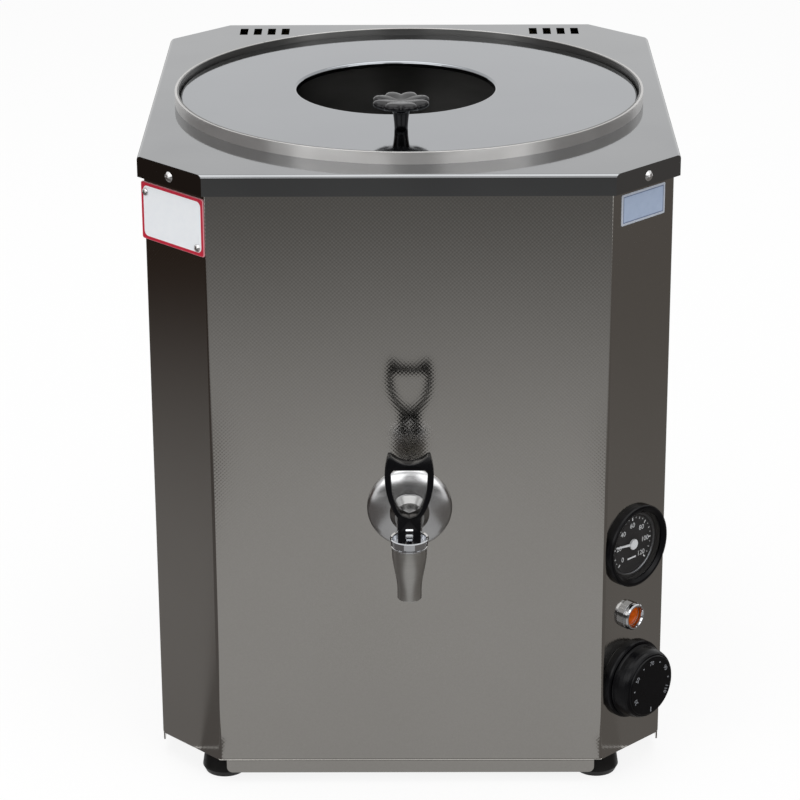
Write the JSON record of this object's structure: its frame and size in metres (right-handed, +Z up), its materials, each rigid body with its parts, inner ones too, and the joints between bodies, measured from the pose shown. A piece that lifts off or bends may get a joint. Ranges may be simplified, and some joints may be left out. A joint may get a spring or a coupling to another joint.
{
  "type": "tea urn",
  "caption": "Electric tea urn: octagonal steel casing round a water tank, lid with a teapot hole, self-closing lever tap, dial thermometer, pilot lamp and thermostat knob.",
  "frame": {"origin": "on the worktop, under the middle of the whole urn's box, tap and gland included", "axes": "+Z up, +Y towards the rear panel, +X to the right as seen from the tap"},
  "size_m": [0.3526, 0.4993, 0.4571],
  "materials": {
    "casing_steel": "fine textured stainless sheet",
    "cover_steel": "bright stainless sheet",
    "rim_steel": "brushed stainless band",
    "zinc_steel": "zinc plated",
    "rivet_alloy": "bare",
    "chrome": "polished",
    "tap_nickel": "satin nickel",
    "black_gloss": "glossy moulded",
    "black_matte": "moulded",
    "dial_black": "satin paint",
    "needle_white": "satin paint",
    "clear_glass": "clear",
    "amber": "translucent",
    "white_plastic": "moulded",
    "seal_rubber": "moulded",
    "element_metal": "oxidised nickel alloy sheath",
    "brass": "turned",
    "copper": "drawn copper",
    "mineral_wool": "felted",
    "wire": "silicone sleeve"
  },
  "bodies": {
    "casing": {"front_casing": "casing_steel", "rear_panel": "casing_steel", "base_plate": "casing_steel", "top_cover": "cover_steel", "water_tank": "cover_steel", "lid_ledge": "cover_steel", "sensor_pockets": "cover_steel", "tap_socket": "cover_steel", "rim_band": "rim_steel", "tank_stand": "zinc_steel", "stand_screws": "zinc_steel", "foot_screws": "zinc_steel", "foot_nuts": "zinc_steel", "base_screws": "zinc_steel", "rear_screws": "zinc_steel", "gauge_clamp": "zinc_steel", "lamp_nut": "zinc_steel", "thermostat_screws": "zinc_steel", "cover_rivets": "rivet_alloy", "tap_rosette": "chrome", "tap_bonnet": "chrome", "lamp_bezel": "chrome", "tap_spring": "chrome", "tap_body": "tap_nickel", "gauge_bezel": "black_gloss", "thermostat_ring": "black_gloss", "foot_front_left": "black_matte", "foot_front_right": "black_matte", "foot_rear_left": "black_matte", "foot_rear_right": "black_matte", "gauge_case": "black_matte", "cable_gland": "black_matte", "gland_nut": "black_matte", "thermostat_body": "black_matte", "gauge_dial": "dial_black", "gauge_glass": "clear_glass", "lamp_lens": "amber", "lamp_body": "white_plastic", "terminal_block": "white_plastic", "tap_gasket": "seal_rubber", "element_seals": "seal_rubber", "heating_element": "element_metal", "element_bushes": "brass", "element_nuts": "brass", "earth_stud": "brass", "gauge_clamp_nuts": "brass", "gauge_sensor": "copper", "thermostat_sensor": "copper", "tank_insulation": "mineral_wool", "wiring": "wire"},
    "lid": {"lid_plate": "cover_steel", "lid_knob": "black_gloss", "lid_knob_screw": "zinc_steel"},
    "valve": {"tap_stem": "chrome", "tap_seat_washer": "seal_rubber"},
    "lever": {"tap_handle": "black_gloss", "handle_pin": "chrome"},
    "heat_knob": {"thermostat_knob": "black_gloss", "thermostat_shaft": "zinc_steel"},
    "needle": {"gauge_needle": "needle_white"}
  },
  "joints": [
    {"name": "lid_lift", "type": "slide", "parent": "casing", "child": "lid", "axis": [0, 0, 1], "range_m": [0, 0.12]},
    {"name": "valve_lift", "type": "slide", "parent": "casing", "child": "valve", "axis": [0, 0, 1], "range_m": [0, 0.0023], "deforming": ["tap_spring"]},
    {"name": "lever_pull", "type": "hinge", "parent": "valve", "child": "lever", "pos_m": [0, -0.23735, 0.2225], "axis": [1, 0, 0], "range_deg": [0, 60], "stiffness_Nm_per_rad": 0.2},
    {"name": "heat_turn", "type": "hinge", "parent": "casing", "child": "heat_knob", "pos_m": [0.15015, -0.1255, 0.0685], "axis": [-0.7071, 0.7071, 0], "range_deg": [0, 270]},
    {"name": "needle_turn", "type": "hinge", "parent": "casing", "child": "needle", "pos_m": [0.15015, -0.1255, 0.167], "axis": [-0.7071, 0.7071, 0], "range_deg": [-52, 218]}
  ],
  "couplings": [
    {"joint": "lever_pull", "follows": "valve_lift", "rad_per_m": 454.55}
  ]
}
